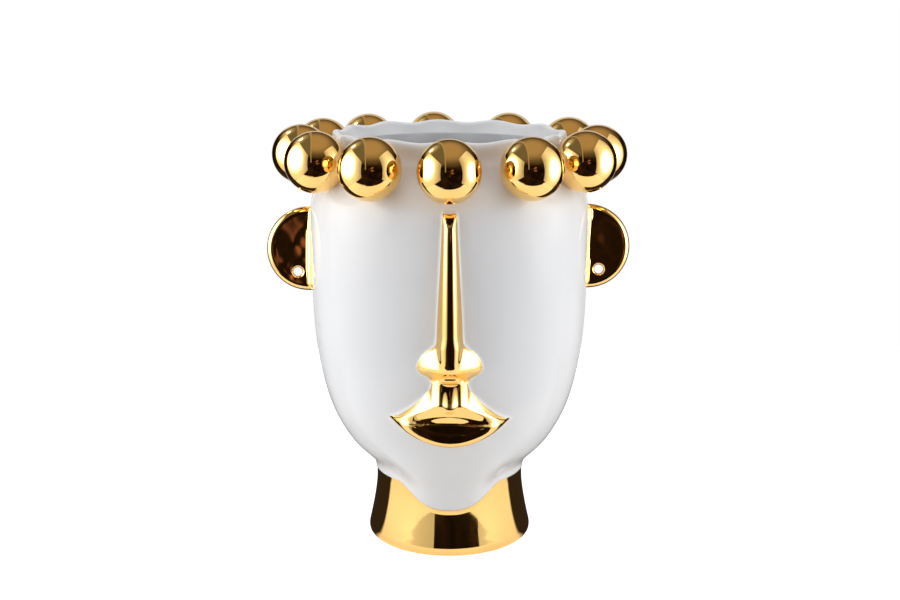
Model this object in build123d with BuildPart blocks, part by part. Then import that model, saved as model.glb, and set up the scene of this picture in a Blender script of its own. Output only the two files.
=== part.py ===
from build123d import *
import os
from math import cos, pi, radians, sin, sqrt

# Face vase of glazed ceramic: a hollow white head with a waved rim stands on a gilded neck, and wears
# gilded nose and mouth reliefs, two pierced half-disc ears and a crown of twelve hollow gilded balls.
# Millimetres. The origin is the middle of the foot, +Z is up, and the face looks along -Y.
# Azimuths are degrees around the axis from the middle of the face, positive towards +X.

os.makedirs("parts", exist_ok=True)
# Cuts run this far past what they cut.
overrun = 4.0
# Rings that the lofts of the wall run through, from jaw to crown and over the lip, and the points of
# a ring from one ball to the next.
ring_count = 28
lip_steps = 4
ring_steps = 4

# Neck and foot
foot_radius = 68.8
neck_radius = 62.2
neck_height = 58.0
foot_ring_width = 8.0
foot_recess = 3.0
foot_floor = 7.0
foot_rounding = 3.0
neck_lap = 1.6
bevel_share = 0.3
# The spread from neck to foot that is left, against shares of the neck's height.
neck_flare_shares = ((0.0, 1.0), (0.15, 0.86), (0.3, 0.62), (0.48, 0.34), (0.66, 0.12), (0.84, 0.02))

# Head
head_radius = 114.0
head_height = 224.0
head_wall = 6.2
core_share = 0.75
seat_step = 1.0
jaw_ledge = 0.4
# The side of the head from the jaw up: shares of the step from jaw to head radius, and of its height.
side_shares = (
    (0.015, 0.020),
    (0.11, 0.054),
    (0.34, 0.107),
    (0.52, 0.165),
    (0.67, 0.232),
    (0.80, 0.321),
    (0.90, 0.433),
    (0.965, 0.567),
    (0.99, 0.746),
    (1.00, 0.911),
)
shoulder_share = 0.985
chin_push = 6.0
chin_drop = 18.0
chin_height = 52.0
chin_azimuth = 44.0
# How full the chin's edge is towards its ends, and how far up its swelling carries.
chin_fullness_share = 1.5
chin_swell_share = 4.0

# Collar, rim and throat
collar_radius = 96.4
crown_rise = 40.5
rim_rise = 18.5
flute_depth = 3.6
flute_inside_share = 0.5
flute_under_lip_share = 0.8
rim_flute = 1.6
rim_wave = 1.6
wave_under_lip_share = 0.5
lip_radius = 91.0
lip_thickness = 5.6
throat_radius = 85.5
throat_drop = 10.5
# The turn from the shoulder to the crown: shares of the step in and of the rise.
turn_shares = ((0.16, 0.27), (0.48, 0.50), (0.80, 0.72))

# Crown of balls
ball_radius = 24.0
ball_wall = 4.0
ball_seating = 4.0
ball_spacing = 14.0
pour_hole_radius = 5.0
# Set by hand, so each ball is off its even place by this share of the pitch.
ball_shift_shares = (0.0, 0.023, 0.05, -0.133, 0.043, 0.13, 0.223, 0.217, 0.123, 0.067, 0.02, 0.023)

# Ears
ear_radius = 34.6
ear_thickness = 9.0
ear_rounding = 3.4
ear_rise = 187.0
ear_mismatch = 1.1
# The ears face a little inwards and lean back, and the left one was luted on further out.
ear_turn = 7.0
ear_lean = 9.0
ear_left_out = 2.0
ear_root = 5.0
ear_hole_radius = 4.3
ear_hole_rounding = 1.6
ear_hole_out = 9.8
ear_hole_down = 19.0

# Nose
nose_rise = 100.5
nose_gap = 7.6
nose_half_width = 9.6
nose_projection = 17.5
nose_root = 2.4
nose_tip_rounding = 6.0
# Sections up the nose: shares of its length, of its half width and of its projection.
nose_shares = (
    (0.00, 0.92, 0.93),
    (0.12, 1.00, 1.00),
    (0.35, 0.95, 0.82),
    (0.65, 0.78, 0.58),
    (1.00, 0.56, 0.37),
)
# Half of a section, from its root to its crest: shares of its half width and of its projection.
nose_section_shares = ((0.92, 0.3), (0.42, 0.93))
nostril_half_width = 10.3
nostril_half_height = 13.6
nostril_out = 14.4
nostril_up = 15.8

# Mouth
mouth_half_width = 46.5
mouth_rise = 69.3
mouth_drop = 25.0
mouth_relief = 3.4
# The stretch of the head, in shares of its height, that the mouth's relief follows.
relief_low_share = 0.1
relief_high_share = 0.6
fan_half_width = 13.2
fan_rise = 37.0
philtrum_radius = 9.0
philtrum_depth = 2.4
# The fan's hollow sides and the lower lip's edge, as shares of the half width and of the rise or drop.
fan_shares = ((0.83, 0.07), (0.65, 0.25), (0.43, 0.6))
lower_edge_shares = ((0.72, 0.44), (0.44, 0.76), (0.0, 1.0))
# Lip rolls: at shares of the half width, what is left of the roll's rise, height and relief.
lip_shares = ((0.0, 1.0), (0.3, 0.92), (0.58, 0.7), (0.82, 0.4), (0.97, 0.0))
upper_lip_rise = 5.6
upper_lip_half_height = 5.4
lower_lip_drop = 11.0
lower_lip_half_height = 9.6
lip_relief = 6.0

# Heights, radii and places that follow from the sizes above
neck_wall = head_wall - seat_step
jaw_radius = neck_radius + jaw_ledge
shoulder_height = neck_height + head_height
crown_height = shoulder_height + crown_rise
rim_height = crown_height + rim_rise
crown_radius = collar_radius + flute_depth + ball_radius - ball_seating
ball_count = int(2 * pi * crown_radius / (2 * ball_radius + ball_spacing))
ball_pitch = 360 / ball_count
ball_azimuths = [
    ball_pitch * (number + ball_shift_shares[number % len(ball_shift_shares)])
    for number in range(ball_count)
]
nose_bottom = neck_height + nose_rise
nose_top = crown_height - ball_radius - nose_gap
mouth_height = neck_height + mouth_rise


def crown_wave(azimuth):
    """1 behind a ball and -1 half way between two, whatever the gap between them."""
    for low, high in zip(ball_azimuths, ball_azimuths[1:] + [360]):
        if low <= azimuth <= high:
            return cos(2 * pi * (azimuth - low) / (high - low))
    return 1.0


def chin_window(azimuth):
    """1 at the middle of the face, falling smoothly to 0 at the chin's ends."""
    away = min(azimuth, 360 - azimuth) / chin_azimuth
    if away >= 1:
        return 0.0
    return 1 - (away * away * (3 - 2 * away)) ** chin_fullness_share


def ring(radius, height, flute=0.0, wave=0.0, chin=0.0):
    """A closed curve around the wall. Flutes and waves follow the balls, and the chin is let down."""
    near_jaw = min(max((height - neck_height) / chin_height, 0), 1)
    push = chin * chin_push * (1 - near_jaw) ** 2 * (1 + chin_swell_share * near_jaw)
    drop = chin * chin_drop * (1 - near_jaw) ** 2
    points = []
    for low, high in zip(ball_azimuths, ball_azimuths[1:] + [360]):
        for step in range(ring_steps):
            azimuth = low + (high - low) * step / ring_steps
            crest = crown_wave(azimuth)
            window = chin_window(azimuth)
            reach = radius + flute * crest + push * window
            level = height + wave * crest - drop * window
            points.append((reach * sin(radians(azimuth)), -reach * cos(radians(azimuth)), level))
    even = [float(step) for step in range(len(points) + 1)]
    return Wire([Edge.make_spline(points, periodic=True, parameters=even)])


def flute_at(height):
    """The flutes fade in from the shoulder to the crown."""
    near_crown = min(max((height - shoulder_height) / crown_rise, 0), 1)
    return flute_depth * near_crown * near_crown * (3 - 2 * near_crown)


# Head shell: slip-cast wall with the chin let down over the neck, fluted behind the balls, with a
# rounded waved lip and a crease at the throat
jaw_to_head = head_radius - jaw_radius
shoulder_radius = jaw_radius + jaw_to_head * shoulder_share
shoulder_to_collar = collar_radius - shoulder_radius
side_line = [
    (jaw_radius + jaw_to_head * out_share, neck_height + head_height * rise_share)
    for out_share, rise_share in side_shares
]
turn_line = [
    (shoulder_radius + shoulder_to_collar * in_share, shoulder_height + crown_rise * rise_share)
    for in_share, rise_share in turn_shares
]
with BuildLine() as wall_line:
    Spline(
        (jaw_radius, neck_height),
        *side_line,
        (shoulder_radius, shoulder_height),
        *turn_line,
        (collar_radius, crown_height),
    )
wall = wall_line.edges()[0]
outside = []
inside = []
core = []
relief = []
face_line = []
for step in range(ring_count + 1):
    place = wall @ (step / ring_count)
    slope = wall % (step / ring_count)
    flute = flute_at(place.Y)
    outside.append(ring(place.X, place.Y, flute=flute, chin=1))
    face_line.append((place.Y, place.X + flute))
    inner = place + Vector(-slope.Y, slope.X) * head_wall
    if step == 0:
        inner = place - Vector(head_wall, 0)
    inside.append(ring(inner.X, inner.Y, flute=flute * flute_inside_share))
    deep = place + Vector(-slope.Y, slope.X) * head_wall * core_share
    core.append(ring(deep.X, deep.Y, flute=flute))
    near_mouth = (place.Y - neck_height) / head_height
    if relief_low_share <= near_mouth <= relief_high_share:
        relief.append(ring(place.X + mouth_relief, place.Y))

lip_half = lip_thickness / 2
lip_middle = rim_height - lip_half
outside.append(
    ring(
        lip_radius + lip_half,
        (crown_height + lip_middle) / 2,
        flute=flute_depth * flute_under_lip_share,
        wave=rim_wave * wave_under_lip_share,
    )
)
for turn in range(lip_steps + 1):
    angle = radians(180 * turn / lip_steps)
    place = (lip_radius + lip_half * cos(angle), lip_middle + lip_half * sin(angle))
    outside.append(ring(*place, flute=rim_flute, wave=rim_wave))
outside.append(ring(throat_radius, rim_height - throat_drop))
inside.append(outside[-1])

with BuildPart() as head_shell:
    outer_skin = Shell.make_loft(outside)
    inner_skin = Shell.make_loft(inside)
    seat = Shell.make_loft([outside[0], inside[0]], ruled=True)
    add(Solid(Shell(outer_skin.faces() + inner_skin.faces() + seat.faces())))
head_shell.part.label = "head_shell"
export_step(head_shell.part, "parts/head_shell.step")

# The head without its hollow, which the reliefs, ears and balls are also cut by
with BuildPart() as head_core:
    add(Solid.make_loft(core))


def seat_on_head():
    """Cut the piece in hand to the head's wall, so that the two meet face to face."""
    add(head_core.part, mode=Mode.SUBTRACT)
    add(head_shell.part, mode=Mode.SUBTRACT)


def face_reach(height):
    """How far the head stands out from the axis at a height, above the chin."""
    for (low, low_reach), (high, high_reach) in zip(face_line, face_line[1:]):
        if low <= height <= high:
            return low_reach + (high_reach - low_reach) * (height - low) / (high - low)
    return face_line[-1][1]


def mirrored(points):
    """The same points on the other side of the face, in the reverse order."""
    return [(-x, y) for x, y in reversed(points)]


# Neck and foot: one casting, open to the head, with a recessed foot ring. Its mouth is bevelled on the
# inside, laps into the head's wall, and is cut to it.
spread = foot_radius - neck_radius
flare = [
    (neck_radius + spread * spread_share, neck_height * rise_share)
    for rise_share, spread_share in neck_flare_shares
]
hollow = [(radius - neck_wall, height) for radius, height in flare[1:]]
neck_mouth = (neck_radius, neck_height + neck_lap)
bevel_low = (neck_radius - neck_wall, neck_height - neck_lap)
bevel_high = (neck_radius - neck_wall * bevel_share, neck_height + neck_lap)
floor_corner = (hollow[0][0], foot_recess + foot_floor)

with BuildPart() as neck_foot:
    with BuildSketch(Plane.XZ):
        with BuildLine():
            Spline(*flare, neck_mouth)
            Polyline(neck_mouth, (0, neck_mouth[1]), (0, 0), flare[0])
        make_face()
    revolve(axis=Axis.Z)
    fillet(neck_foot.edges().group_by(Axis.Z)[0], radius=foot_rounding)
    with BuildSketch(Plane.XZ):
        with BuildLine():
            Spline(floor_corner, *hollow[1:], bevel_low)
            Polyline(bevel_low, bevel_high, (0, bevel_high[1]), (0, floor_corner[1]), floor_corner)
        make_face()
    revolve(axis=Axis.Z, mode=Mode.SUBTRACT)
    with BuildSketch(Plane.XY):
        Circle(foot_radius - foot_ring_width)
    extrude(amount=foot_recess, mode=Mode.SUBTRACT)
    add(head_shell.part, mode=Mode.SUBTRACT)
neck_foot.part.label = "neck_foot"
export_step(neck_foot.part, "parts/neck_foot.step")

# Nose: a narrow ridge that grows down to the tip, with a rounded wing on each side
nose_length = nose_top - nose_bottom
wing_height = nose_bottom + nostril_up
with BuildPart() as nose:
    for length_share, width_share, projection_share in nose_shares:
        level = nose_bottom + nose_length * length_share
        reach = face_reach(level)
        side = nose_half_width * width_share
        projection = nose_projection * projection_share
        flank = [
            (side * out_share, -reach - projection * up_share)
            for out_share, up_share in nose_section_shares
        ]
        root = (side, nose_root - reach)
        with BuildSketch(Plane.XY.offset(level)):
            with BuildLine():
                Spline(root, *flank, (0, -reach - projection), *mirrored([root, *flank]))
                Line(mirrored([root])[0], root)
            make_face()
    loft()
    underside = nose.faces().sort_by(Axis.Z)[0]
    fillet(underside.edges().sort_by(Axis.Y)[0], radius=nose_tip_rounding)
    for side in (-1, 1):
        place = (side * nostril_out, -face_reach(wing_height), wing_height)
        with BuildSketch(Plane(origin=place, x_dir=(1, 0, 0), z_dir=(0, -1, 0))):
            Ellipse(nostril_half_width, nostril_half_height)
            Rectangle(
                nostril_half_width,
                2 * nostril_half_height,
                align=(Align.MAX, Align.CENTER),
                mode=Mode.SUBTRACT,
            )
        revolve(axis=Axis(place, (0, 0, 1)))
    seat_on_head()
nose.part.label = "nose"
export_step(nose.part, "parts/nose.step")

# Mouth: a low fan from the nose to the corners, with a groove down its middle and two rolled lips
with BuildPart() as relief_limit:
    add(Solid.make_loft(relief))

corner = (mouth_half_width, mouth_height)
fan_top = (fan_half_width, mouth_height + fan_rise)
fan_side = [
    (mouth_half_width * width_share, mouth_height + fan_rise * rise_share)
    for width_share, rise_share in fan_shares
]
lower_edge = [
    (mouth_half_width * width_share, mouth_height - mouth_drop * drop_share)
    for width_share, drop_share in lower_edge_shares
]


def lip_roll(middle, half_height):
    """A roll that follows the face, thickest in the middle and drawn out to points at the corners."""
    ends = []
    sections = []
    for place_share, taper_share in lip_shares:
        out = mouth_half_width * place_share
        level = mouth_height + (middle - mouth_height) * taper_share
        depth = sqrt(face_reach(level) ** 2 - out**2)
        for side in (-1, 1):
            place = (side * out, -depth, level)
            if taper_share == 0:
                ends.append(Vertex(*place))
                continue
            with BuildSketch(Plane(origin=place, x_dir=(0, 1, 0), z_dir=(1, 0, 0))) as section:
                Ellipse(lip_relief * taper_share, half_height * taper_share)
            sections.append((side * out, section.sketch))
    ordered = [section for out, section in sorted(sections, key=lambda pair: pair[0])]
    return [min(ends, key=lambda end: end.X), *ordered, max(ends, key=lambda end: end.X)]


def groove_axis(height):
    """Where the round cutter of the groove runs at a height, before the fan."""
    return Vector(0, philtrum_depth - philtrum_radius - mouth_relief - face_reach(height), height)


with BuildPart() as mouth:
    with BuildSketch(Plane.XZ):
        with BuildLine():
            Spline(corner, *fan_side, fan_top)
            Line(fan_top, mirrored([fan_top])[0])
            Spline(*mirrored([corner, *fan_side, fan_top]))
            Spline(corner, *lower_edge, *mirrored(lower_edge[:-1]), mirrored([corner])[0])
        make_face()
    extrude(amount=head_radius + overrun)
    add(relief_limit.part, mode=Mode.INTERSECT)
    groove = groove_axis(nose_bottom) - groove_axis(mouth_height)
    with BuildSketch(Plane(origin=groove_axis(mouth_height), z_dir=groove)):
        Circle(philtrum_radius)
    extrude(amount=groove.length + overrun, mode=Mode.SUBTRACT)
    loft(sections=lip_roll(mouth_height + upper_lip_rise, upper_lip_half_height))
    loft(sections=lip_roll(mouth_height - lower_lip_drop, lower_lip_half_height))
    seat_on_head()
    add(nose.part, mode=Mode.SUBTRACT)
mouth.part.label = "mouth"
export_step(mouth.part, "parts/mouth.step")

# Ears: half discs with rounded edges and a bored hole, rooted in the wall
across, along = sin(radians(ear_turn)), cos(radians(ear_turn))
back, upright = sin(radians(ear_lean)), cos(radians(ear_lean))
for name, side, stand in (("ear_left", -1, ear_left_out), ("ear_right", 1, 0)):
    out = (along * side, -across, 0)
    normal = (-across * upright, -along * upright * side, back * side)
    middle = ((head_radius + stand) * side, 0, neck_height + ear_rise + ear_mismatch * side)
    ear_plane = Plane(origin=middle, x_dir=out, z_dir=normal)
    with BuildPart() as ear:
        with BuildSketch(ear_plane):
            Circle(ear_radius)
            with Locations((-ear_root, 0)):
                Rectangle(ear_radius, 2 * ear_radius, align=(Align.MAX, Align.CENTER), mode=Mode.SUBTRACT)
        extrude(amount=ear_thickness / 2, both=True)
        fillet(ear.edges().filter_by(GeomType.CIRCLE), radius=ear_rounding)
        with BuildSketch(ear_plane):
            with Locations((ear_hole_out, -ear_hole_down)):
                Circle(ear_hole_radius)
        extrude(amount=ear_thickness, both=True, mode=Mode.SUBTRACT)
        hole = ear.faces().filter_by(GeomType.CYLINDER).sort_by(SortBy.AREA)[0]
        fillet(hole.edges().filter_by(GeomType.CIRCLE), radius=ear_hole_rounding)
        add(head_shell.part, mode=Mode.SUBTRACT)
    ear.part.label = name
    export_step(ear.part, f"parts/{name}.step")

# Crown: hollow balls, each cut to the wall that it is luted to, with its pour hole against the wall
for number, azimuth in enumerate(ball_azimuths, start=1):
    out = (sin(radians(azimuth)), -cos(radians(azimuth)), 0)
    middle = (crown_radius * out[0], crown_radius * out[1], crown_height)
    with BuildPart() as ball:
        with Locations(Plane(origin=middle, z_dir=(-out[0], -out[1], 0))):
            Sphere(ball_radius)
            Sphere(ball_radius - ball_wall, mode=Mode.SUBTRACT)
            Cylinder(
                pour_hole_radius,
                ball_radius,
                align=(Align.CENTER, Align.CENTER, Align.MIN),
                mode=Mode.SUBTRACT,
            )
        add(head_shell.part, mode=Mode.SUBTRACT)
    ball.part.label = f"ball_{number:02d}"
    export_step(ball.part, f"parts/ball_{number:02d}.step")
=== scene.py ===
import bpy
from math import atan2, cos, degrees, pi, radians, sin

import numpy as np
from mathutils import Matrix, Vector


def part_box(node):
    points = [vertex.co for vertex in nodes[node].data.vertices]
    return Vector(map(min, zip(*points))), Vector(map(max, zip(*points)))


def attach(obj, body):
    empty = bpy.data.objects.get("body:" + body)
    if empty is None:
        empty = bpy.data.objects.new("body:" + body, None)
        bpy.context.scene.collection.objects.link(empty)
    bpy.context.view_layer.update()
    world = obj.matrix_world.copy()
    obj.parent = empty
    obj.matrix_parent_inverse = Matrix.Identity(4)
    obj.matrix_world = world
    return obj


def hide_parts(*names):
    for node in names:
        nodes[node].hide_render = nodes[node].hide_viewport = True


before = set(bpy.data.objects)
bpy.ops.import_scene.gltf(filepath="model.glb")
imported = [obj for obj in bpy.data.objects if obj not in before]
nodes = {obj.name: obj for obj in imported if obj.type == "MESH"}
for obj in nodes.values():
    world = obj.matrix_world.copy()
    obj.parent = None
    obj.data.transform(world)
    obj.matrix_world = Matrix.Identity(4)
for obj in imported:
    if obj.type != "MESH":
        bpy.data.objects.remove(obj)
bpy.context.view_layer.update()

# Camera: the photographer stands a little above the vase and looks slightly down at it, with a
# normal lens, about 1.1 m from the middle of the foot.
camera_place = (0.0005, -1.080, 0.4447)
camera_down = 12.77
camera_lens, camera_film = 53.04, 36
camera_data = bpy.data.cameras.new("camera")
camera_data.lens = camera_lens
camera_data.sensor_width = camera_film
camera = bpy.data.objects.new("camera", camera_data)
camera.location = camera_place
camera.rotation_euler = (radians(90 - camera_down), 0, 0)
bpy.context.scene.collection.objects.link(camera)
bpy.context.scene.camera = camera
bpy.context.scene.view_settings.view_transform = "Standard"


# Head wall: the line of the casting from the jaw over the cheeks and shoulder to the collar, in
# millimetres from the axis and the foot, and the chin, which pushes that line out and lets it down.
def spline(points, spacing):
    """A smooth line through the points, cut into steps of about the spacing."""
    points = np.array(points, dtype=float)
    along = np.concatenate([[0], np.cumsum(np.linalg.norm(np.diff(points, axis=0), axis=1))])
    count = len(points)
    gaps = np.diff(along)
    matrix = np.eye(count)
    target = np.zeros_like(points)
    for row in range(1, count - 1):
        before, after = gaps[row - 1], gaps[row]
        matrix[row, row - 1:row + 2] = before, 2 * (before + after), after
        target[row] = 6 * ((points[row + 1] - points[row]) / after - (points[row] - points[row - 1]) / before)
    bend = np.linalg.solve(matrix, target)
    at = np.linspace(0, along[-1], max(2, int(round(along[-1] / spacing)) + 1))
    span = np.clip(np.searchsorted(along, at, side="right") - 1, 0, count - 2)
    gap = gaps[span][:, None]
    low = ((along[span + 1] - at)[:, None]) / gap
    high = 1 - low
    return (
        low * points[span] + high * points[span + 1]
        + ((low**3 - low) * bend[span] + (high**3 - high) * bend[span + 1]) * gap**2 / 6
    )


def ease(start, end, value):
    """0 at the start, 1 at the end and smooth between. The end may be the smaller number."""
    share = np.clip((value - start) / (end - start), 0, 1)
    return share * share * (3 - 2 * share)


neck_height, jaw_radius = 58.0, 62.6
head_radius, head_height = 114.0, 224.0
collar_radius, crown_rise = 96.4, 40.5
side_shares = (
    (0.015, 0.020), (0.11, 0.054), (0.34, 0.107), (0.52, 0.165), (0.67, 0.232), (0.80, 0.321),
    (0.90, 0.433), (0.965, 0.567), (0.99, 0.746), (1.00, 0.911), (0.985, 1.0),
)
turn_shares = ((0.16, 0.27), (0.48, 0.50), (0.80, 0.72), (1.0, 1.0))
row_step = 1.0
chin_push, chin_drop, chin_swell = 6.0, 18.0, 4
chin_height, chin_azimuth, chin_fullness = 52.0, 44.0, 1.5
wall_passes = 3

shoulder_height = neck_height + head_height
crown_height = shoulder_height + crown_rise
wall_points = [(jaw_radius, neck_height)]
wall_points += [
    (jaw_radius + (head_radius - jaw_radius) * out_share, neck_height + head_height * up_share)
    for out_share, up_share in side_shares
]
shoulder_radius = wall_points[-1][0]
wall_points += [
    (shoulder_radius + (collar_radius - shoulder_radius) * in_share, shoulder_height + crown_rise * up_share)
    for in_share, up_share in turn_shares
]
wall_line = spline(wall_points, row_step)


def chin_at(azimuth):
    """1 at the middle of the face and 0 at the chin's ends."""
    return 1 - ease(0, chin_azimuth, np.abs(np.mod(azimuth + 180, 360) - 180)) ** chin_fullness


def chin_shape(height):
    """How far the chin pushes the wall out and lets it down at a height."""
    above = np.clip((height - neck_height) / chin_height, 0, 1)
    return chin_push * (1 - above) ** 2 * (1 + chin_swell * above), chin_drop * (1 - above) ** 2


def wall_at(x, z):
    """Where the wall of the face lies before the middle plane, found by closing in on it."""
    reach = np.interp(z, wall_line[:, 1], wall_line[:, 0])
    for _ in range(wall_passes):
        chin = chin_at(np.degrees(np.arcsin(np.clip(x / reach, -1, 1))))
        level = z
        for _ in range(wall_passes):
            level = z + chin_shape(level)[1] * chin
        reach = np.interp(level, wall_line[:, 1], wall_line[:, 0]) + chin_shape(level)[0] * chin
    return -np.sqrt(reach**2 - x**2)


# Face: the nose and the mouth are one sprigged relief, pressed in a mould and luted to the head. Its
# drawing is half an outline, the crest of the nose and the lines of the lips, each as (out, up) in
# millimetres from the axis and the foot. The mouth hangs a little lower on its right side.
nose_side = ((5.6, 291.4), (6.1, 276.0), (8.0, 236.8), (9.9, 196.6), (11.0, 190.6))
wing_side = (
    (15.6, 186.6), (20.4, 182.2), (23.5, 177.2), (24.9, 172.3), (24.0, 168.9), (19.9, 165.8), (15.7, 163.3),
)
fan_side = ((14.1, 160.6), (15.3, 154.3), (20.4, 147.7), (26.2, 141.5), (33.2, 135.5), (40.6, 130.2))
mouth_corner = (46.9, 127.5)
lower_side = ((43.2, 123.2), (38.2, 119.1), (31.2, 114.5), (22.1, 110.0), (12.2, 106.8), (0.0, 105.2))
upper_outline = nose_side + wing_side + fan_side + (mouth_corner,)
lower_outline = (mouth_corner,) + lower_side
face_shift = 0.3
mouth_lean, lean_heights = 0.0224, (178.0, 150.0)
edge_step, line_step = 0.2, 0.5
nose_edge = spline(upper_outline, edge_step)
lower_edge = spline(lower_outline, edge_step)
face_edge = np.vstack([nose_edge, lower_edge[1:]])
nose_top = nose_side[0][1]
mouth_low = lower_side[-1][1]

# The map of the relief: its height over the head in cells, softened as the glaze softens it.
map_cell, map_margin = 0.4, 2
map_half, map_low, map_high = 56.0, 92.0, 304.0
map_columns = np.arange(-map_half, map_half + map_cell / 2, map_cell)
map_rows = np.arange(map_low, map_high + map_cell / 2, map_cell)
sideways, rise = np.meshgrid(map_columns, map_rows)
out = np.abs(sideways)
soft, crisp, bell_reach = 0.8, 0.4, 3
search_length = 2000


def table(points, value):
    """Read a drawing's line: what it gives at a value, straight between its points."""
    line = np.array(sorted(points))
    return np.interp(value, line[:, 0], line[:, 1])


def union(first, second, blend):
    """The higher of two, with the corner between them filled over the blend."""
    near = np.clip(0.5 + 0.5 * (first - second) / blend, 0, 1)
    return second + (first - second) * near + blend * near * (1 - near)


def softened(field, width):
    """A field blurred by a bell of this width."""
    reach = int(bell_reach * width / map_cell) + 1
    steps = np.arange(-reach, reach + 1)
    bell = np.exp(-0.5 * (steps * map_cell / width) ** 2)
    bell /= bell.sum()
    for axis in (0, 1):
        padded = np.pad(field, [(reach, reach) if axis == each else (0, 0) for each in (0, 1)], mode="edge")
        field = sum(
            weight * np.take(padded, np.arange(field.shape[axis]) + number, axis=axis)
            for number, weight in enumerate(bell)
        )
    return field


def depth_inside():
    """Which cells lie inside the outline, and how far inside it."""
    width = np.interp(rise, face_edge[::-1, 1], face_edge[::-1, 0])
    within = (out < width) & (rise > mouth_low) & (rise < nose_top)
    far = np.zeros_like(out)
    spots = np.stack([out[within], rise[within]], axis=1)
    nearest = np.empty(len(spots))
    for first in range(0, len(spots), search_length):
        some = slice(first, first + search_length)
        gaps = spots[some][:, None, :] - face_edge[None, :, :]
        nearest[some] = np.sqrt((gaps**2).sum(axis=2).min(axis=1))
    far[within] = np.minimum(nearest, nose_top - spots[:, 1])
    return within, far


inside, depth = depth_inside()

# Nose: how far its crest stands out at each height, and how a section falls from it to the sides.
nose_crest = (
    (150.0, 0.0), (157.5, 1.5), (159.5, 5.0), (161.5, 7.2), (163.2, 8.6), (164.8, 8.9), (166.0, 8.4),
    (167.0, 9.0), (168.4, 11.8), (170.0, 14.4), (172.2, 16.5), (174.8, 17.4), (178.0, 17.4), (185.0, 16.7),
    (205.0, 14.4), (225.0, 12.4), (244.6, 10.3), (268.0, 8.2), (291.4, 6.6),
)
nose_fullness = ((160.0, 3.3), (182.0, 3.3), (200.0, 2.6), (300.0, 2.6))
nose_fall = 0.8
nose_under = ((10.2, 180.0), (10.6, 172.0), (10.0, 164.0), (9.0, 150.0))
nose_end_relief, nose_end_slope = 2.4, 0.47
ridge_half = table([(height, width) for width, height in nose_side + nose_under], rise)
crest = np.interp(rise, *spline(nose_crest, line_step).T)
ridge = crest * (1 - np.clip(out / ridge_half, 0, 1) ** table(nose_fullness, rise)) ** nose_fall
ridge = np.minimum(ridge, nose_end_relief + nose_end_slope * (nose_top - rise))

# Wings of the nose: the lower of a dome with a round edge and a ledge that falls away all round.
wing_relief, wing_round, wing_fall = 17.0, 9.0, 0.62
wing_floor, wing_floor_slope = ((0.0, 166.5), (8.0, 165.2), (12.0, 163.2), (15.7, 162.0), (30.0, 160.0)), 0.85
wing_inner, wing_inner_slope = 0.5, 1.15
wing_fade = (197.0, 188.0)
ledge_height, ledge_relief, ledge_start = 172.6, 15.4, 5.5
fall_out, fall_up, fall_down = 0.62, 0.42, 0.8
wing_blend, nose_blend, face_blend = 2.5, 2.0, 1.5
wing_depth = np.minimum(depth, (rise - table(wing_floor, out)) * wing_floor_slope)
wing_depth = np.minimum(wing_depth, (out - wing_inner) * wing_inner_slope)
wing_depth = np.clip(wing_depth / wing_round, 0, 1)
past_start = np.maximum(out - ledge_start, 0)
ledge = ledge_relief - fall_out * past_start
ledge = ledge - np.where(rise > ledge_height, fall_up, fall_down) * np.abs(rise - ledge_height)
dome = (wing_relief - wing_fall * past_start) * np.sqrt(1 - (1 - wing_depth) ** 2)
wings = np.maximum(-union(-dome, -ledge, wing_blend), 0) * ease(*wing_fade, rise)
nose_map = union(ridge, wings, nose_blend)

# Lines of the mouth, as (out, up): the bow of the upper lip, the end of its underside, the slit, the
# top of the lower lip's rim and the crease in its front. Then how far they stand before the axis.
bow_line = (
    (0.0, 141.2), (2.5, 142.0), (5.0, 143.8), (7.5, 144.4), (10.0, 143.7), (15.0, 141.4), (20.0, 138.7),
    (25.0, 136.6), (30.0, 134.5), (35.0, 132.3), (40.0, 130.0), (46.9, 127.6),
)
bow_stand = (
    (0.0, 119.7), (4.0, 120.5), (7.5, 121.2), (10.0, 120.2), (15.0, 117.8), (20.0, 115.3), (25.0, 113.0),
    (30.0, 110.4), (35.0, 106.8), (40.0, 101.8), (46.9, 93.9),
)
under_line = ((0.0, 136.4), (15.0, 134.2), (20.0, 132.4), (27.0, 129.6), (34.0, 128.0), (46.9, 127.5))
under_stand = (
    (0.0, 115.6), (10.0, 115.1), (20.0, 113.6), (27.0, 112.0), (34.0, 109.4), (40.0, 103.4), (46.9, 93.8),
)
slit_line = ((0.0, 129.0), (18.0, 128.3), (34.0, 127.2), (46.9, 127.4))
upper_slit_stand = (
    (0.0, 114.2), (6.0, 114.2), (13.0, 114.1), (20.0, 113.6), (27.0, 112.3), (34.0, 109.8), (40.0, 103.4),
    (46.9, 93.8),
)
lower_slit_stand = (
    (0.0, 114.8), (10.0, 114.9), (20.0, 114.6), (28.0, 113.7), (34.0, 111.4), (38.0, 107.6), (42.0, 101.8),
    (46.9, 93.8),
)
rim_line = (
    (0.0, 113.2), (8.0, 113.9), (15.0, 115.8), (22.0, 118.3), (28.0, 120.9), (34.0, 123.8), (38.0, 125.5),
    (42.0, 126.6), (46.9, 127.3),
)
rim_stand = (
    (0.0, 116.6), (10.0, 116.3), (20.0, 115.4), (28.0, 113.9), (34.0, 110.9), (38.0, 106.4), (42.0, 100.3),
    (46.9, 93.8),
)
crease_line = ((0.0, 120.0), (12.0, 121.0), (24.0, 124.4), (32.0, 126.0))
fan_low, fan_middle = 161.0, 162.0
least_gap = 0.2
panel_start, panel_slope, panel_flat = 1.2, 0.56, 7.5
panel_edge, panel_edge_in, panel_edge_out = 2.6, (12.0, 31.0), (46.9, 39.0)
groove_middle, groove_half, groove_depth, groove_shallow = 0.9, 7.4, 1.3, 0.5
groove_deepens, groove_ends = (141.0, 147.0), (166.0, 160.0)
edge_relief, flank_swell, flank_square = 1.5, 1.8, 0.7
mouth_fade = (167.0, 160.5)
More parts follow.
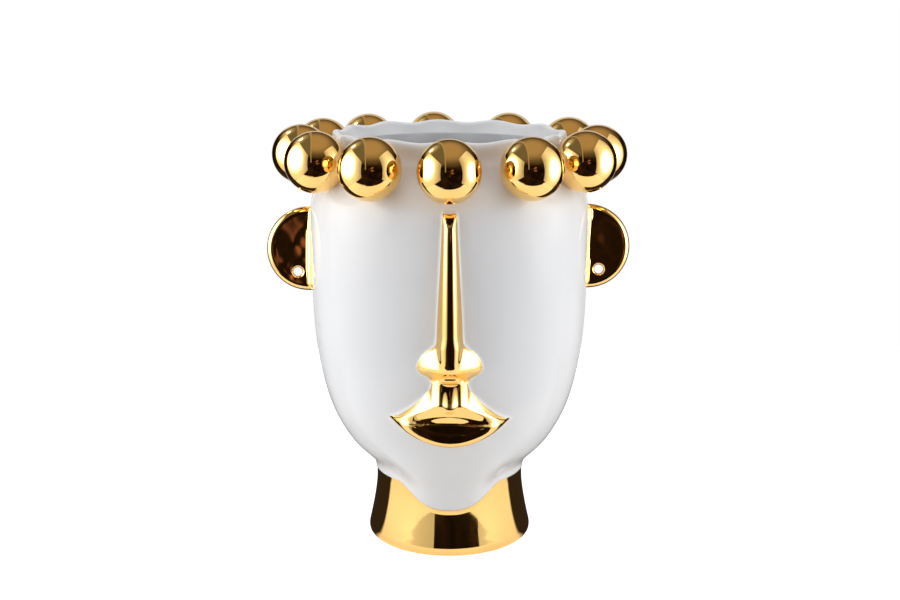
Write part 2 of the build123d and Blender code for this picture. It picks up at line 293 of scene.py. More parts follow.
slit_depth, slit_half, slit_ends = 0.35, 0.6, (44.0, 36.0)
crease_depth, crease_half, crease_ends = 0.3, 0.8, (33.0, 27.0)
lines_top = 150.0


def across_mouth(line):
    """A line of the mouth, read at every cell."""
    return np.interp(out, *spline(line, line_step).T)


def part_way(low, high):
    """0 at the lower line and 1 at the higher."""
    return np.clip((rise - low) / np.maximum(high - low, least_gap), 0, 1)


def scratch(line, deep, half, ends):
    """A shallow line drawn in the lips, which dies out towards the corners."""
    return deep * np.clip(1 - np.abs(rise - line) / half, 0, 1) * ease(*ends, out)


wall = -wall_at(sideways, rise)
bow, bow_at = across_mouth(bow_line), across_mouth(bow_stand)
under, under_at = across_mouth(under_line), across_mouth(under_stand)
slit = across_mouth(slit_line)
upper_at, lower_at = across_mouth(upper_slit_stand), across_mouth(lower_slit_stand)
lip_rim, rim_at = across_mouth(rim_line), across_mouth(rim_stand)
fan = nose_edge[nose_edge[:, 1] < fan_low]
fan_top = np.interp(out, fan[:, 0], fan[:, 1], left=fan_middle)
lip_bottom = np.interp(out, lower_edge[::-1, 0], lower_edge[::-1, 1])

# The mouth is drawn in five bands from the top: the panel under the nose with its groove, the upper
# lip's underside, the trough above the slit, the lower lip's front and the flank under its rim.
panel_lift = panel_start + panel_slope * np.clip(fan_side[0][0] - np.maximum(out, panel_flat), 0, None)
panel_lift = panel_lift + panel_edge * ease(*panel_edge_in, out) * ease(*panel_edge_out, out)
bow_share = 1 - part_way(bow, fan_top)
panel = (wall + panel_lift) * (1 - bow_share) + bow_at * bow_share
in_groove = np.cos(pi / 2 * np.clip((sideways - groove_middle) / groove_half, -1, 1)) ** 2
groove = groove_shallow + (groove_depth - groove_shallow) * ease(*groove_deepens, rise)
panel = panel - in_groove * groove * ease(*groove_ends, rise)
under_share = part_way(under, bow)
underside = under_at * (1 - under_share) + bow_at * under_share
trough = under_at + (upper_at - under_at) * (1 - part_way(slit, under)) ** 2
front_share = part_way(lip_rim, slit)
lip_front = rim_at * (1 - front_share) + lower_at * front_share
flank_edge = wall + edge_relief
flank_share = (1 - (1 - part_way(lip_bottom, lip_rim)) ** flank_swell) ** flank_square
flank = flank_edge + (rim_at - flank_edge) * flank_share
mouth_map = np.select(
    [rise > bow, rise > under, rise > slit, rise > lip_rim],
    [panel, underside, trough, lip_front],
    flank,
)
mouth_map = (mouth_map - wall) * ease(*mouth_fade, rise)

face_map = softened(union(nose_map, mouth_map, face_blend) * inside, soft)
lines = scratch(slit, slit_depth, slit_half, slit_ends)
lines += scratch(table(crease_line, out), crease_depth, crease_half, crease_ends)
face_map = face_map - softened(lines * (rise < lines_top), crisp)

# The white wall under the gold follows it from below, out of sight.
under_drop, under_edge = 0.7, 1.6
under_relief, under_bank, bank_width = 3.0, 8.0, 1.5
under_gold = np.minimum(
    face_map - under_drop * ease(0.0, under_edge, depth),
    under_relief + under_bank * ease(bank_width, 0.0, depth),
)


def read_map(values, x, z):
    """A map read at any place, smooth between its cells and 0 outside it."""
    z = z + mouth_lean * x * ease(*lean_heights, z)
    column = (x - face_shift + map_half) / map_cell
    row = (z - map_low) / map_cell
    last_column, last_row = len(map_columns) - 1 - map_margin, len(map_rows) - 1 - map_margin
    within = (column > map_margin) & (column < last_column) & (row > map_margin) & (row < last_row)
    column = np.where(within, column, 2 * map_margin)
    row = np.where(within, row, 2 * map_margin)
    low_column, low_row = np.floor(column).astype(int), np.floor(row).astype(int)

    def weights(share):
        return (
            (1 - share) ** 3 / 6,
            (3 * share**3 - 6 * share**2 + 4) / 6,
            (3 * (1 - share) ** 3 - 6 * (1 - share) ** 2 + 4) / 6,
            share**3 / 6,
        )

    total = 0
    for down, row_weight in enumerate(weights(row - low_row)):
        for right, column_weight in enumerate(weights(column - low_column)):
            total = total + row_weight * column_weight * values[low_row + down - 1, low_column + right - 1]
    return np.where(within, total, 0)


# Head shell: slip-cast stoneware, cast in two halves and fettled smooth, under a clear gloss glaze over
# white slip. Its collar is pressed in between the balls, and its rim is waved and rolled by hand. The
# chin hangs over the neck. The glaze lies a little unevenly, as a dipped glaze does.
class Tone:
    """A node's output, so that tones are added, taken away and multiplied as plain sums."""

    def __init__(self, tree, socket=None):
        self.tree = tree
        self.socket = socket

    def node(self, kind, settings=None, sockets=None, output=0):
        """Add a node of any kind. Its settings are set first, then its sockets are set or linked."""
        made = self.tree.nodes.new(kind)
        for name, value in (settings or {}).items():
            setattr(made, name, value)
        for name, value in (sockets or {}).items():
            if isinstance(value, Tone):
                self.tree.links.new(value.socket, made.inputs[name])
            else:
                made.inputs[name].default_value = value
        return Tone(self.tree, made.outputs[output])

    def sum(self, operation, *others):
        """A Math node with this tone first."""
        return self.node("ShaderNodeMath", {"operation": operation}, dict(enumerate([self, *others])))

    def __add__(self, other):
        return self.sum("ADD", other)

    def __mul__(self, other):
        return self.sum("MULTIPLY", other)

    def __sub__(self, other):
        return self.sum("SUBTRACT", other)

    def __rsub__(self, other):
        return self.node("ShaderNodeMath", {"operation": "SUBTRACT"}, {0: other, 1: self})

    __radd__ = __add__
    __rmul__ = __mul__

    def between(self, low, high):
        """0 below low, 1 above high, and smooth from one to the other."""
        return self.node(
            "ShaderNodeMapRange",
            {"interpolation_type": "SMOOTHSTEP"},
            {"Value": self, "From Min": low, "From Max": high},
        )

    def mix(self, first, second):
        """A colour between two, at this share of the second."""
        return self.node("ShaderNodeMix", {"data_type": "RGBA"}, {0: self, 6: first, 7: second}, output=2)

    def noise(self, scale, detail=2.0, seed=0.0):
        """Clouds at this scale, from 0 to 1."""
        return self.node(
            "ShaderNodeTexNoise",
            {"noise_dimensions": "4D"},
            {"Vector": self, "Scale": scale, "Detail": detail, "W": seed},
        )


def new_material(name):
    """A material with nothing in it but the object's own coordinates; finish_material adds its output."""
    material = bpy.data.materials.new(name)
    material.use_nodes = True
    material.node_tree.nodes.clear()
    place = Tone(material.node_tree).node("ShaderNodeTexCoord", output="Object")
    return material, place


def finish_material(material, shader):
    """The shader on the material's surface."""
    output = material.node_tree.nodes.new("ShaderNodeOutputMaterial")
    material.node_tree.links.new(shader.socket, output.inputs["Surface"])


glaze_cool, glaze_warm = (0.86, 0.865, 0.88, 1), (0.9, 0.9, 0.905, 1)
ripple_share, peel_share = 0.85, 0.02
glaze, place = new_material("white_glaze")
clouds = place.noise(9.0)
surface = place.noise(38.0, seed=3.0) * ripple_share + place.noise(700.0, detail=1.0, seed=5.0) * peel_share
white = clouds.between(0.35, 0.65).mix(glaze_cool, glaze_warm)
finish_material(glaze, white.node("ShaderNodeBsdfPrincipled", None, {
    "Base Color": white,
    "Roughness": clouds * 0.06 + 0.05,
    "IOR": 1.52,
    "Specular IOR Level": 0.13,
    "Normal": surface.node("ShaderNodeBump", None, {"Height": surface, "Strength": 0.18, "Distance": 0.002}),
}))

mm = 0.001


def mesh_piece(name, points, faces):
    """A smooth mesh from millimetres, riding with the vase."""
    mesh = bpy.data.meshes.new(name)
    mesh.from_pydata((np.asarray(points) * mm).reshape(-1, 3).tolist(), [], faces)
    mesh.validate()
    mesh.shade_smooth()
    piece = bpy.data.objects.new(name, mesh)
    bpy.context.scene.collection.objects.link(piece)
    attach(piece, "root")
    return piece


def quads(rows, columns, wrap_rows=False, wrap_columns=False, first=0):
    """Faces of a net of rows and columns, closed on itself either way."""
    row = np.arange(rows if wrap_rows else rows - 1)
    column = np.arange(columns if wrap_columns else columns - 1)
    row, column = np.meshgrid(row, column, indexing="ij")
    next_row, next_column = (row + 1) % rows, (column + 1) % columns
    corners = [
        row * columns + column, row * columns + next_column,
        next_row * columns + next_column, next_row * columns + column,
    ]
    return (np.stack(corners, axis=-1).reshape(-1, 4) + first).tolist()


def middle_of(name):
    """The middle of a node's box."""
    low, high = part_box(name)
    return [(low[axis] + high[axis]) / 2 for axis in range(3)]


ball_names = sorted(name for name in nodes if name.startswith("ball_"))
ball_azimuths = sorted(
    degrees(atan2(middle_of(name)[0], -middle_of(name)[1])) % 360 for name in ball_names
)


def wave_at(azimuth):
    """1 behind a ball and -1 half way between two."""
    azimuth = np.mod(azimuth - ball_azimuths[0], 360)
    places = [ball - ball_azimuths[0] for ball in ball_azimuths] + [360]
    return np.cos(2 * pi * np.interp(azimuth, places, range(len(places))))


flute_depth = 3.6
rim_rise, rim_flute, rim_wave = 18.5, 1.0, 1.1
lip_radius, lip_thickness, lip_flute, lip_points = 91.0, 5.6, 0.8, 5
throat_radius, throat_drop = 85.5, 10.5
head_wall, inner_step = 6.2, 4
face_azimuth, face_step, plain_step = 27.0, 0.35, 1.5
rim_height = crown_height + rim_rise
lip_half = lip_thickness / 2
azimuths = np.concatenate([
    np.arange(-face_azimuth, face_azimuth, face_step),
    np.arange(face_azimuth, 360 - face_azimuth - plain_step / 2, plain_step),
])

# Each row is a ring of the head, up its outside, over its rim and down its inside: its radius and
# height, how deep its flutes and how high its waves are, and 1 where the chin shapes it.
flutes = flute_depth * ease(shoulder_height, crown_height, wall_line[:, 1])
outer_rows = np.column_stack([wall_line, flutes, np.zeros_like(flutes), np.ones_like(flutes)])
lip_rows = [
    (collar_radius, crown_height, flute_depth, 0.0),
    (
        lip_radius + lip_half, (crown_height + rim_height - lip_half) / 2,
        flute_depth * lip_flute, rim_wave / 2,
    ),
]
lip_rows += [
    (lip_radius + lip_half * cos(turn), rim_height - lip_half + lip_half * sin(turn), rim_flute, rim_wave)
    for turn in np.radians(np.linspace(0, 180, lip_points))
]
lip_rows.append((throat_radius, rim_height - throat_drop, 0.0, 0.0))
lip_rows = spline(lip_rows, row_step)[1:]
lip_rows = np.column_stack([lip_rows, np.zeros(len(lip_rows))])
slope = np.gradient(wall_line, axis=0)
slope /= np.linalg.norm(slope, axis=1)[:, None]
inner_line = wall_line + np.column_stack([-slope[:, 1], slope[:, 0]]) * head_wall
inner_rows = np.column_stack([inner_line, flutes / 2, np.zeros_like(flutes), np.zeros_like(flutes)])
inner_rows = inner_rows[::-inner_step]
inner_rows[-1] = (jaw_radius - head_wall, neck_height, 0, 0, 0)
rows = np.vstack([outer_rows, lip_rows, inner_rows])

radius, height, flute, wave, chinned = (rows[:, [column]] for column in range(5))
push, drop = chin_shape(height)
chin = chinned * chin_at(azimuths)
reach = radius + flute * wave_at(azimuths) + push * chin
level = height + wave * wave_at(azimuths) - drop * chin
turned = np.radians(azimuths)
points = np.stack([reach * np.sin(turned), -reach * np.cos(turned), level], axis=-1)
on_face = (np.abs(points[..., 0]) < map_half) & (points[..., 1] < 0) & (chinned > 0)
points[..., 1] -= np.where(on_face, read_map(under_gold, points[..., 0], points[..., 2]), 0)
head = mesh_piece("head", points, quads(len(rows), len(azimuths), True, True))
head.data.materials.append(glaze)
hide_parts("head_shell")

# Crown of balls: twelve hollow balls, luted round the collar. They are the first of the pieces in gold
# lustre: a fired film of gold over the glaze, mirror bright, and a little redder where it is thin.
thin_gold, full_gold = (0.96, 0.615, 0.205, 1), (0.985, 0.65, 0.225, 1)
lustre, place = new_material("gold_lustre")
film = place.noise(26.0, seed=1.0)
streaks = place.noise(240.0, detail=3.0, seed=2.0)
ripple = place.noise(30.0, detail=1.0, seed=4.0)
gold = film.between(0.3, 0.7).mix(thin_gold, full_gold)
finish_material(lustre, gold.node("ShaderNodeBsdfPrincipled", None, {
    "Base Color": gold,
    "Metallic": 1.0,
    "Roughness": streaks * 0.05 + 0.02,
    "Normal": ripple.node("ShaderNodeBump", None, {"Height": ripple, "Strength": 0.1, "Distance": 0.002}),
}))


def gild(piece):
    """Gold lustre all over a piece."""
    piece.data.materials.clear()
    piece.data.materials.append(lustre)


for name in ball_names:
    gild(nodes[name])


# Neck and foot: one hollow casting that spreads to the foot, gilded all over. A fillet of slip joins it to
# the chin above, and its foot ring is fettled round. It stands in the head's wall at the top.
neck_line = spline((
    (68.8, 3.6), (68.65, 5.6), (68.05, 8.5), (66.85, 14.0), (65.6, 20.0), (64.1, 28.0), (62.85, 36.0),
    (61.95, 44.0), (61.7, 50.0), (61.8, 58.0),
), row_step)
foot_rows = (
    (68.45, 1.9), (67.6, 0.6), (66.4, 0.05), (64.8, 0.0), (61.6, 0.0), (60.8, 0.6), (60.4, 2.4), (59.0, 3.0),
)
neck_radius, neck_wall, neck_lap, neck_tuck = 62.2, 5.2, 1.6, 0.6
neck_floor, floor_round, floor_bend = 10.0, 4.0, ((1.5, 1.0), (6.0, 0.0))
middle_gap, hollow_step = 0.4, 4
neck_turns, neck_levels = 240, 58
chin_fillet, jaw_fillet, fillet_height = 3.6, 0.3, 5.5
neck_turned = np.radians(np.arange(neck_turns) * 360 / neck_turns)
neck_chin = chin_at(np.arange(neck_turns) * 360 / neck_turns)
neck_top = neck_height - chin_drop * neck_chin
neck_start = neck_line[0, 1]
neck_level = neck_start + (neck_top + neck_tuck - neck_start) * np.linspace(0, 1, neck_levels)[:, None]
near_top = np.clip(1 - (neck_top - neck_level) / fillet_height, 0, 1) ** 2
neck_reach = np.interp(neck_level, neck_line[:, 1], neck_line[:, 0])
neck_reach = neck_reach + (jaw_fillet + chin_fillet * neck_chin) * near_top
neck_rows = list(zip(neck_reach, neck_level))
inner_rings = [(neck_radius, neck_height + neck_lap), (neck_radius - neck_wall, neck_height - neck_lap)]
inner_rings += [
    (ring - neck_wall, rising) for ring, rising in neck_line[::-hollow_step]
    if rising > neck_floor + floor_round
]
lowest = inner_rings[-1][0]
inner_rings += [(lowest - inwards, neck_floor + above) for inwards, above in floor_bend]
inner_rings += [(middle_gap, neck_floor), (middle_gap, foot_rows[-1][1])]
inner_rings += foot_rows[::-1]
neck_rows += [(np.full(neck_turns, ring), np.full(neck_turns, rising)) for ring, rising in inner_rings]
neck_points = [
    np.column_stack([ring * np.sin(neck_turned), -ring * np.cos(neck_turned), rising])
    for ring, rising in neck_rows
]
neck = mesh_piece("neck", neck_points, quads(len(neck_rows), neck_turns, True, True))
gild(neck)
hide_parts("neck_foot")

# Ears: two half discs, pressed flat, with a round edge and a bored hole, luted to the wall with a fillet
# of slip. They face a little inwards and lean back, and the left one stands further out.
ear_radius, ear_thickness, ear_root = 34.6, 9.0, 5.0
ear_height, ear_mismatch = 245.0, 1.1
ear_turn, ear_lean = radians(7.0), radians(9.0)
ear_edge, chord_inset = 4.3, 0.5
ear_waviness, wave_lengths, waves_end = 0.22, (5.2, 8.1, 13.0), 8.0
hole_out, hole_down, hole_radius, hole_edge = 9.8, 19.0, 3.7, 2.0
arc_steps, chord_steps, edge_steps, face_steps = 150, 26, 9, 14


def ear_frame(side, stand):
    """The middle of an ear's disc and its three directions: out, up and forward."""
    out_way = np.array([cos(ear_turn) * side, -sin(ear_turn), 0])
    front_way = np.array([-sin(ear_turn) * side, -cos(ear_turn), 0]) * cos(ear_lean) + [0, 0, sin(ear_lean)]
    up_way = np.cross(front_way, out_way) * side
    middle = np.array([(head_radius + stand) * side, 0, ear_height + ear_mismatch * side])
    return middle, out_way, up_way, front_way


def ear_mesh(name, side, stand):
    """A plate in rings: from the middle of its edge over the front to the hole, and back over the rear."""
    middle, out_way, up_way, front_way = ear_frame(side, stand)
    limit = np.arccos(-ear_root / ear_radius)
    round_way = np.linspace(-limit, limit, arc_steps)
    arc = np.column_stack([np.cos(round_way), np.sin(round_way)])
    chord_up = np.linspace(np.sin(limit), -np.sin(limit), chord_steps)[1:-1] * ear_radius
    turn = np.linspace(0, pi / 2, edge_steps)
    hole = np.array([hole_out, -hole_down])

    def outline(inset):
        root = -ear_root + inset * chord_inset
        chord = np.column_stack([np.full(len(chord_up), root), chord_up * (1 - inset / ear_radius)])
        return np.vstack([np.maximum(arc * (ear_radius - inset), [root, -ear_radius]), chord])

    far = outline(0) - hole
    far /= np.linalg.norm(far, axis=1)[:, None]
    half = ear_thickness / 2
    inner = hole + far * (hole_radius + hole_edge)
    outer = outline(ear_edge)
    front = [(outline(ear_edge * (1 - cos(way))), half * sin(way)) for way in turn]
    for step in range(1, face_steps):
        share = step / face_steps
        front.append((outer * (1 - share) + inner * share, half))
    front += [
        (hole + far * (hole_radius + hole_edge * (1 - sin(way))), half - hole_edge * (1 - cos(way)))
        for way in turn
    ]
    points = []
    for ring, level in front + [(ring, -level) for ring, level in front[::-1]][:-1]:
        short, middling, long = wave_lengths
        wave = np.sin(ring[:, 0] / short + side) * np.sin(ring[:, 1] / middling + 1.0)
        wave = wave + np.sin(ring[:, 1] / long + side)
        inside_edge = np.clip((ear_radius - np.linalg.norm(ring, axis=1)) / waves_end, 0, 1)
        level = level + ear_waviness * wave * inside_edge * np.sign(level)
        points.append(middle + ring[:, :1] * out_way + ring[:, 1:] * up_way + level[:, None] * front_way)
    piece = mesh_piece(name, points, quads(len(points), len(points[0]), True, True))
    gild(piece)
    return piece


# The bead of slip in the corner between an ear's face and the wall, wiped hollow with a finger. Its
# widths are those at the top and at the bottom.
bead_widths = {"left": (3.4, 5.6), "right": (4.4, 2.0)}
bead_rows, bead_points, bead_short = 60, 9, 1.2
bead_taper, bead_least = 5.0, 0.25
bead_sink, bead_hollow, bead_on_wall = 0.1, 0.1, 1.1
bead_lean, bead_in_wall, bead_in_ear, bead_skirt = (0.02, 0, 0), 1.5, 2.0, 1.2


def ear_fillet(name, side, stand, widths):
    middle, out_way, up_way, front_way = ear_frame(side, stand)
    points = []
    for rising in np.linspace(-1, 1, bead_rows) * (ear_radius - bead_short):
        width = np.interp(rising, (-ear_radius, ear_radius), widths[::-1])
        width *= np.clip((ear_radius - abs(rising)) / bead_taper, bead_least, 1)
        corner = middle + rising * up_way + front_way * (ear_thickness / 2 - bead_sink)
        reach = np.interp(corner[2], wall_line[:, 1], wall_line[:, 0])
        run = np.sqrt(reach**2 - corner[1] ** 2) - abs(corner[0])
        corner = corner + out_way * run / cos(ear_turn)
        wall_way = np.array([-corner[1], corner[0], 0]) / reach * -side
        on_face = corner + out_way * width
        on_wall = corner + wall_way * width * bead_on_wall
        pull = corner + bead_hollow * (on_face + on_wall - 2 * corner)
        section = [
            (1 - share) ** 2 * on_face + 2 * share * (1 - share) * pull + share**2 * on_wall
            for share in np.linspace(0, 1, bead_points)
        ]
        root = corner + (middle - corner) * bead_lean - out_way * bead_in_wall - front_way * bead_in_ear
        points.append(section + [on_wall - out_way * bead_skirt, root, on_face - front_way * bead_skirt])
    rows, columns = len(points), len(points[0])
    faces = quads(rows, columns, False, True)
    faces += [list(range(columns)), list(range((rows - 1) * columns, rows * columns))[::-1]]
    gild(mesh_piece(name, points, faces))


for side_name, side, stand in (("left", -1, 2.0), ("right", 1, 0.0)):
    ear = ear_mesh(f"{side_name}_ear", side, stand)
    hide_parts(f"ear_{side_name}")
    ear_fillet(f"{side_name}_ear_fillet", side, stand, bead_widths[side_name])


# Nose and mouth: the two gilded sprigs. Each is a closed skin, cut from the face's relief along its
# outline and bedded in the wall.
def sprig(name, edge, columns):
    """A gilded piece between the two sides of an outline, from its top row to its lowest."""
    spread = np.sin(np.linspace(-pi / 2, pi / 2, columns))
    half, level = edge[:, [0]], edge[:, [1]]
    x = half * spread + face_shift
    z = level - mouth_lean * x * ease(*lean_heights, level)
    bed = wall_at(x, z)
    front = np.stack([x, bed - read_map(face_map, x, z) - gold_film, z], axis=-1)
    back = np.stack([x, bed + sprig_bed, z], axis=-1)
    rows = len(edge)
    count = rows * columns
    faces = quads(rows, columns)
    faces += [face[::-1] for face in quads(rows, columns, first=count)]
    border = list(range(columns))
    border += [row * columns + columns - 1 for row in range(1, rows)]
    border += [(rows - 1) * columns + column for column in range(columns - 2, -1, -1)]
    border += [row * columns for row in range(rows - 2, 0, -1)]
    for this, after in zip(border, border[1:] + border[:1]):
        faces.append([after, this, this + count, after + count])
    piece = mesh_piece(name, np.concatenate([front, back]), faces)
    gild(piece)
    return piece


gold_film, sprig_bed = 0.08, 1.5
sprig_split = 160.6
nose_columns, mouth_columns = 91, 161
upper_rows = spline(upper_outline, line_step)
nose_rows = upper_rows[upper_rows[:, 1] >= sprig_split]
fan_rows = upper_rows[upper_rows[:, 1] < sprig_split]
lower_rows = spline(lower_outline, line_step)[1:-1]
nose = sprig("nose_relief", nose_rows, nose_columns)
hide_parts("nose")
mouth = sprig("mouth_relief", np.vstack([nose_rows[-1:], fan_rows, lower_rows]), mouth_columns)
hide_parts("mouth")


# Studio: the vase stands on white card in a light tent. Its two side walls glow, its back wall is
# white, and its front is open to a dark room.
def only_in_reflections(piece, camera=False):
    """A piece of the studio that lights nothing, but shows in polish, and before the camera if asked."""
    piece.visible_camera = camera
    piece.visible_diffuse = False
    piece.visible_shadow = False
    piece.visible_transmission = camera


def clad(piece, shader_of):
    """A material of the piece's own name, from a function of the object's coordinates."""
    material, place = new_material(piece.name)
    finish_material(material, shader_of(place))
    piece.data.materials.append(material)


def card(name, corners, shader_of, camera=False):
    """A flat card of the studio, which only polished surfaces see, unless the camera does too."""
    mesh = bpy.data.meshes.new(name)
    mesh.from_pydata(corners, [], [list(range(len(corners)))])
    piece = bpy.data.objects.new(name, mesh)
    bpy.context.scene.collection.objects.link(piece)
    clad(piece, shader_of)
    only_in_reflections(piece, camera)
    return piece


def axes(place, letters):
    """The named coordinates of a place."""
    return [place.node("ShaderNodeSeparateXYZ", None, {"Vector": place}, letter) for letter in letters]


def glow(place, colour, strength):
    """Light given off, so that its colour shows as written at a strength of 1."""
    return place.node("ShaderNodeEmission", None, {"Color": colour, "Strength": strength})


# Side walls: white cloth on a frame at each side, its glow made uneven by painted light and shade of
# creases, with a soft halo round the hot patch that the lamp behind it makes.
halo_ends, patch_ends = (0.8, 2.4), (0.55, 1.3)
crease_shade_depth, crease_shade_level = 0.4, 0.8


def side_glow(middle, size, spread, low, gain, warm, hot):
    """The glow of a wall: the middle of its patch as (y, z) and its size both ways, how far the even
    light spreads, how much light there is at least, and the gains of the even light, halo and patch."""

    def shader(place):
        y, z = axes(place, "YZ")
        along = (y - middle[0]).sum("ABSOLUTE")
        beside, above = along * (1 / size[0]), (z - middle[1]) * (1 / size[1])
        far = (beside * beside + above * above).sum("SQRT")
        tone = (1 - along.between(0.0, spread)) * gain + (1 - far.between(*halo_ends)) * warm
        # Painted light and shade of creases: noise that dims and brightens the cloth's glow.
        painted_crease_shade = place.noise(7.0, detail=3.0, seed=6.0) * crease_shade_depth + crease_shade_level
        return glow(place, (1, 1, 1, 1), (tone + low) * painted_crease_shade + (1 - far.between(*patch_ends)) * hot)
    return shader


left_x, right_x = -0.43, 0.41
left_glow = side_glow((-0.177, 0.410), (0.25, 0.23), spread=0.80, low=0.45, gain=0.50, warm=0.35, hot=4.8)
right_glow = side_glow((-0.15, 0.33), (0.16, 0.18), spread=0.45, low=0.50, gain=0.55, warm=0.35, hot=4.6)
card("left_wall", [
    (left_x, -0.84, 0.0), (left_x, 0.06, 0.0), (left_x, 0.14, 0.70), (left_x, -0.84, 0.81),
], left_glow)
card("right_wall", [
    (right_x, -0.50, 0.0), (right_x, 0.05, 0.0), (right_x, 0.15, 0.80), (right_x, -0.54, 0.93),
], right_glow)

# Folds: the front edge of the table's white card is turned up at both sides, where it catches the light
# of the side walls. Between the folds polish sees the dark room.
fold_y, fold_low, fold_high, fold_end = -0.346, -0.03, 0.04, 0.60
left_fold_start, right_fold_start = -0.126, 0.285


def fold_glow(place):
    x, = axes(place, "X")
    return glow(place, (1, 1, 1, 1), x.sum("ABSOLUTE").between(0.05, fold_end) * 0.35 + 0.6)


for name, inner_x, outer_x in (
    ("left_fold", left_fold_start, -fold_end), ("right_fold", right_fold_start, fold_end),
):
    card(name, [
        (inner_x, fold_y, fold_low), (outer_x, fold_y, fold_low),
        (outer_x, fold_y, fold_high), (inner_x, fold_y, fold_high),
    ], fold_glow)

# Back wall: warm white card stood up behind the vase, with painted shade low down, where it meets the
# table. It shows in the gold of the vase's back.
back_y, back_side, back_top, back_lit = 0.36, 0.30, 0.54, 0.30


def back_glow(place):
    z, = axes(place, "Z")
    # Painted shade: the glow is 0.3 at the table and rises to 0.65 at back_lit and above.
    return glow(place, (1, 0.97, 0.93, 1), z.between(0.0, back_lit) * 0.35 + 0.3)


card("back_wall", [
    (-back_side, back_y, 0.0), (back_side, back_y, 0.0),
    (back_side, back_y, back_top), (-back_side, back_y, back_top),
], back_glow)

# Room: near black in front, brown and grey above where the lamps light the ceiling, with a pale batten
# on it and a few warm blotches.
room_radius, room_middle = 1.6, (0, -0.14, 0.32)
front_black, front_brown = (0.006, 0.004, 0.003, 1), (0.035, 0.018, 0.009, 1)
ceiling_low, ceiling_high = (0.14, 0.105, 0.07, 1), (0.42, 0.33, 0.23, 1)
olive, lamp_white = (0.17, 0.155, 0.125, 1), (0.85, 0.83, 0.76, 1)
warm_brown, batten_grey = (0.40, 0.17, 0.13, 1), (0.45, 0.40, 0.32, 1)
batten_x, batten_half, olive_edge = -0.23, 0.05, 0.06
warm_way, warm_ends = (0.19, -0.96, 0.14), (0.08, 0.20)
halo_way, halo_end = (-0.57, 0.49, 0.64), 0.48


def room_glow(place):
    x, y, z = [axis * (1 / room_radius) for axis in axes(place, "XYZ")]

    def near_way(way, start, end):
        """1 about a direction and 0 beyond it."""
        gaps = [axis - part for axis, part in zip((x, y, z), way)]
        return 1 - (gaps[0] * gaps[0] + gaps[1] * gaps[1] + gaps[2] * gaps[2]).sum("SQRT").between(start, end)

    front = place.noise(2.2, detail=4.0, seed=8.0).between(0.35, 0.8).mix(front_black, front_brown)
    lit = z.between(0.55, 0.95).mix(ceiling_low, ceiling_high)
    right_part = z.between(0.25, 0.66).mix(front, lit)
    left_part = z.between(0.30, 0.70).mix(front, olive)
    ceiling = x.between(batten_x - olive_edge, batten_x + olive_edge).mix(left_part, right_part)
    halo = near_way(halo_way, 0.0, halo_end)
    ceiling = (halo * halo).mix(ceiling, lamp_white)
    blotch = place.noise(5.5, detail=1.0, seed=11.0).between(0.46, 0.54) * near_way(warm_way, *warm_ends)
    ceiling = blotch.mix(ceiling, warm_brown)
    away = (x - batten_x).sum("ABSOLUTE")
    batten = (1 - away.between(0.0, batten_half)) * z.between(0.06, 0.14)
    return glow(place, batten.mix(ceiling, batten_grey), 1.0)


def round_piece(name, radius, middle, segments, shader_of):
    """A round piece of the studio, in as many rings as half its segments."""
    bpy.ops.mesh.primitive_uv_sphere_add(
        segments=segments, ring_count=segments // 2, radius=radius, location=middle,
    )
    piece = bpy.context.object
    piece.name = name
    clad(piece, shader_of)
    only_in_reflections(piece)


def lamp_glow(place):
    return glow(place, (1, 0.97, 0.9, 1), 8.0)


round_piece("dark_room", room_radius, room_middle, 64, room_glow)
round_piece("small_lamp", 0.06, (-0.49, 0.275, 0.864), 48, lamp_glow)

# Table: white card that the vase stands on. It ends just in front of the vase. Polish sees it white only
# before a slanted line on each side of the vase, and behind that line it sees painted shade, a dark brown
# glow.
floor_front, floor_back, floor_side = -0.345, 0.60, 0.60
polish_back, polish_slant, polish_edge = -0.045, 0.26, 0.006
paper_white, paper_glow, paper_sheen = (0.8, 0.8, 0.8, 1), 0.75, 0.4
# beyond: the dark brown of the painted shade on the table's back part, seen only in polish.
beyond = (0.03, 0.022, 0.016, 1)


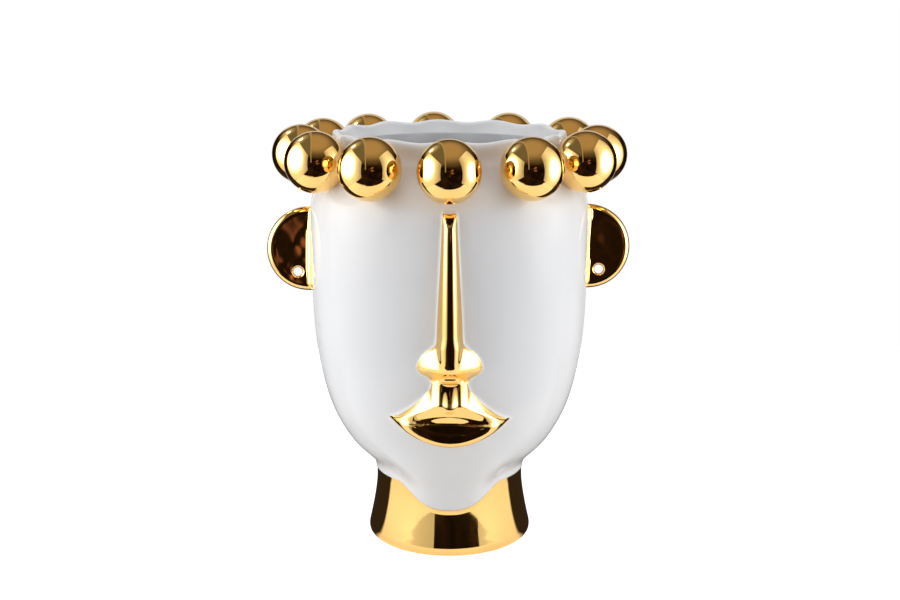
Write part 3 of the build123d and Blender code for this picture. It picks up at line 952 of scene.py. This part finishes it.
def floor_shader(place):
    diffuse_ray = place.node("ShaderNodeLightPath", output="Is Diffuse Ray")
    glossy_ray = place.node("ShaderNodeLightPath", output="Is Glossy Ray")
    x, y = axes(place, "XY")
    past = y - x.sum("ABSOLUTE") * polish_slant
    before_painted_shade = 1 - past.between(polish_back - polish_edge, polish_back + polish_edge)
    paper = place.node("ShaderNodeBsdfDiffuse", None, {"Color": paper_white})

    def lit_paper(strength):
        return place.node("ShaderNodeAddShader", None, {0: paper, 1: glow(place, (1, 1, 1, 1), strength)})

    def choose(share, first, second):
        return place.node("ShaderNodeMixShader", None, {0: share, 1: first, 2: second})

    # Behind the slanted line, polish sees painted shade: a dark brown glow in place of the white card.
    polish = choose(before_painted_shade, glow(place, beyond, 1.0), lit_paper(paper_sheen))
    return choose(diffuse_ray, choose(glossy_ray, lit_paper(paper_glow), polish), paper)


floor = card("table", [
    (-floor_side, floor_front, 0), (floor_side, floor_front, 0),
    (floor_side, floor_back, 0), (-floor_side, floor_back, 0),
], floor_shader, camera=True)
floor.visible_diffuse = True
floor.visible_shadow = True


# Lamps: two large soft boxes behind the side walls and one above, which light the vase but aren't seen
# in its polish.
def soft_lamp(name, place, turn, size, power):
    data = bpy.data.lights.new(name, "AREA")
    data.shape = "RECTANGLE"
    data.size, data.size_y = size
    data.energy = power
    piece = bpy.data.objects.new(name, data)
    piece.location = place
    piece.rotation_euler = (0, radians(turn), 0)
    bpy.context.scene.collection.objects.link(piece)
    piece.visible_glossy = False
    piece.visible_camera = False


soft_lamp("left_lamp", (-0.50, -0.17, 0.24), turn=-90, size=(0.6, 0.7), power=2.08)
soft_lamp("right_lamp", (0.50, -0.20, 0.26), turn=90, size=(0.6, 0.7), power=1.8)
soft_lamp("top_lamp", (0.0, 0.0, 0.95), turn=0, size=(0.6, 0.6), power=1.8)

# Air of the tent: a weak bluish light from all round, which the camera and polished or clear surfaces
# see as white paper.
air_colour, air_strength = (0.97, 0.98, 1, 1), 0.42
world = bpy.data.worlds.new("studio")
world.use_nodes = True
tree = world.node_tree
tree.nodes.clear()
sky = Tone(tree)
seen = sky.node("ShaderNodeLightPath", output="Is Camera Ray")
seen = seen.sum("MAXIMUM", sky.node("ShaderNodeLightPath", output="Is Glossy Ray"))
seen = seen.sum("MAXIMUM", sky.node("ShaderNodeLightPath", output="Is Transmission Ray"))
air = sky.node("ShaderNodeBackground", None, {"Color": air_colour, "Strength": air_strength})
paper = sky.node("ShaderNodeBackground", None, {"Color": (1, 1, 1, 1), "Strength": 1.0})
both = sky.node("ShaderNodeMixShader", None, {0: seen, 1: air, 2: paper})
output = tree.nodes.new("ShaderNodeOutputWorld")
tree.links.new(both.socket, output.inputs["Surface"])
bpy.context.scene.world = world
